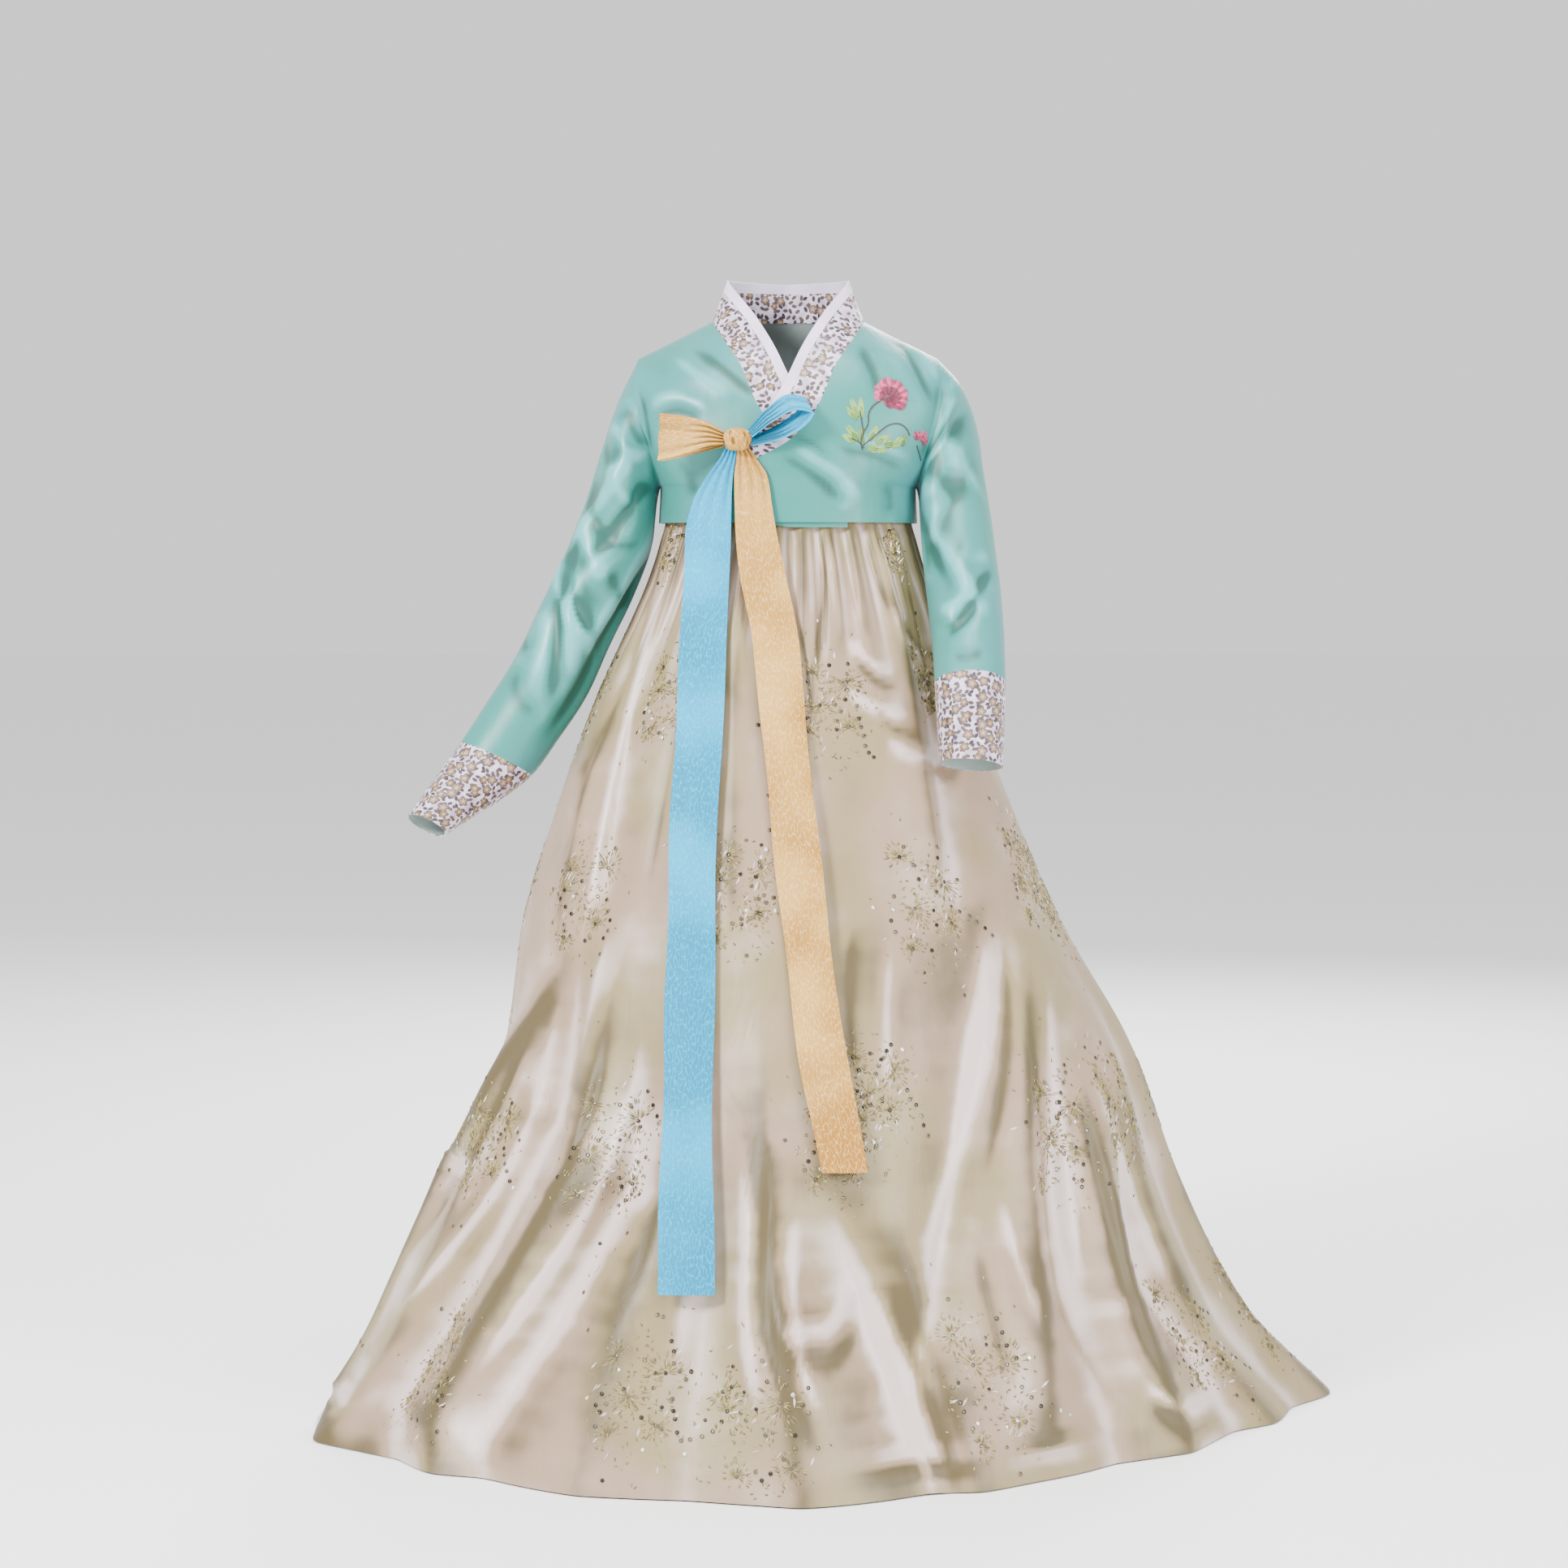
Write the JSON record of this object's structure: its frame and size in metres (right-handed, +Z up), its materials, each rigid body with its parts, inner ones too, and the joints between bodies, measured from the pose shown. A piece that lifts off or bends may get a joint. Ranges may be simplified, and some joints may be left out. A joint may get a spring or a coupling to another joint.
{
  "type": "korean hanbok",
  "caption": "Worn korean hanbok: a short wrapped jacket with long sleeves, a ribbon bow and a full floor-length skirt.",
  "frame": {"origin": "base of the wearer's neck, on the shoulder line and the body's centre line", "axes": "+Z up, the front faces -Y, and the wearer's left is +X"},
  "size_m": [1.2613, 1.0389, 1.3875],
  "materials": {
    "jade_satin": "satin",
    "champagne_satin": "satin",
    "floral_print": "printed",
    "white_facing": "matte",
    "blue_ribbon": "jacquard",
    "peach_ribbon": "jacquard",
    "band_cotton": "matte"
  },
  "bodies": {
    "root": {"chima_front": "champagne_satin", "chima_front_left": "champagne_satin", "chima_back_left": "champagne_satin", "chima_back": "champagne_satin", "chima_back_right": "champagne_satin", "chima_front_right": "champagne_satin", "chima_band": "band_cotton", "chima_strap_left": "band_cotton", "chima_strap_right": "band_cotton", "jeogori_back": "jade_satin", "jeogori_front_left": "jade_satin", "jeogori_front_right": "jade_satin", "sleeve_left": "jade_satin", "sleeve_right": "jade_satin", "cuff_left": "floral_print", "cuff_right": "floral_print", "git": "floral_print", "dongjeong": "white_facing", "goreum_tail_blue": "blue_ribbon", "goreum_loop_blue": "blue_ribbon", "goreum_tail_peach": "peach_ribbon", "goreum_loop_peach": "peach_ribbon", "goreum_knot": "peach_ribbon"}
  },
  "joints": []
}
